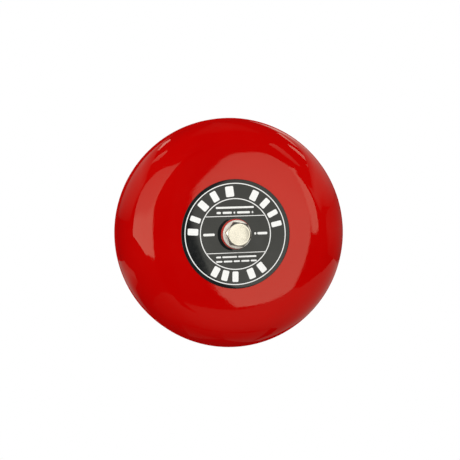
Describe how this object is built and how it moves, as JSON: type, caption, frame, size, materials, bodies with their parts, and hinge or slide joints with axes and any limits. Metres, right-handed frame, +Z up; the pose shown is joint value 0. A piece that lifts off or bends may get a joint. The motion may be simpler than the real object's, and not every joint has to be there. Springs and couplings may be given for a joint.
{
  "type": "fire alarm bell",
  "caption": "Wall-mounted fire alarm bell: a glossy red pressed gong with a black centre label, held by one hexagon bolt over a round housing with a motor-driven striker.",
  "frame": {"origin": "centre of the mounting plate's wall face, on the gong's axis", "axes": "+Y points into the wall, the gong faces -Y, +Z is up, +X is to the right seen from the front"},
  "size_m": [0.15, 0.0606, 0.15],
  "materials": {
    "red_enamel": "high-gloss red enamel on pressed steel",
    "label_black": "glossy black print on aluminium sheet",
    "nickel": "bright nickel plate",
    "zinc": "zinc plate",
    "motor_steel": "plain steel",
    "spring_steel": "spring steel wire",
    "brass": "machined",
    "housing_black": "black paint on die-cast aluminium",
    "black_plastic": "moulded nylon",
    "rubber": "moulded rubber",
    "terminal_cream": "moulded thermoset",
    "board_green": "solder-masked board",
    "capacitor_sleeve": "shrink sleeve",
    "suppressor_blue": "epoxy dipped",
    "lead_red": "PVC insulation",
    "lead_black": "PVC insulation"
  },
  "bodies": {
    "housing": {"gong_seat": "rubber", "thread_insert": "brass", "base_housing": "housing_black", "rear_gasket": "rubber", "mounting_plate": "zinc", "plate_grommet": "rubber", "base_screw_1": "zinc", "base_screw_2": "zinc", "base_screw_3": "zinc", "cover_gasket": "rubber", "mechanism_cover": "housing_black", "cover_screw_1": "zinc", "cover_screw_2": "zinc", "cover_screw_3": "zinc", "motor_can": "motor_steel", "motor_end_cap": "black_plastic", "motor_tag_1": "brass", "motor_tag_2": "brass", "motor_clamp": "zinc", "clamp_screw_1": "zinc", "clamp_screw_2": "zinc", "return_spring": "spring_steel", "guide_bush": "brass", "stop_ring": "rubber", "terminal_block": "terminal_cream", "terminal_plate_1": "brass", "terminal_plate_2": "brass", "terminal_plate_3": "brass", "terminal_plate_4": "brass", "terminal_screw_1": "zinc", "terminal_screw_2": "zinc", "terminal_screw_3": "zinc", "terminal_screw_4": "zinc", "circuit_board": "board_green", "capacitor": "capacitor_sleeve", "diode": "black_plastic", "suppressor": "suppressor_blue", "board_screw_1": "zinc", "board_screw_2": "zinc", "lead_red": "lead_red", "lead_black": "lead_black", "lead_link": "lead_red"},
    "rotor": {"motor_shaft": "motor_steel", "crank_disc": "brass", "crank_pin": "motor_steel", "roller": "nickel", "roller_clip": "motor_steel"},
    "striker": {"striker_rod": "nickel", "spring_collar": "zinc", "hammer_head": "black_plastic"},
    "gong": {"gong": "red_enamel", "label_plate": "label_black"},
    "washers": {"flat_washer": "nickel", "spring_washer": "nickel"},
    "bolt": {"gong_bolt": "nickel"}
  },
  "joints": [
    {"name": "rotor_spin", "type": "hinge", "parent": "housing", "child": "rotor", "pos_m": [0, -0.026, -0.0233], "axis": [0, -1, 0], "continuous": true},
    {"name": "striker_slide", "type": "slide", "parent": "housing", "child": "striker", "axis": [0, 0, -1], "range_m": [0, 0.003], "stiffness_N_per_m": 120, "springref_m": -0.004, "deforming": ["return_spring"]},
    {"name": "gong_removal", "type": "slide", "parent": "housing", "child": "gong", "axis": [0, -1, 0], "range_m": [0, 0.065]},
    {"name": "bolt_rise", "type": "slide", "parent": "gong", "child": "washers", "axis": [0, -1, 0], "range_m": [0, 0.0015]},
    {"name": "bolt_turn", "type": "hinge", "parent": "washers", "child": "bolt", "pos_m": [0, -0.054, 0], "axis": [0, -1, 0], "range_deg": [0, 360]}
  ],
  "couplings": [
    {"joint": "bolt_turn", "follows": "bolt_rise", "rad_per_m": 4188.8}
  ]
}
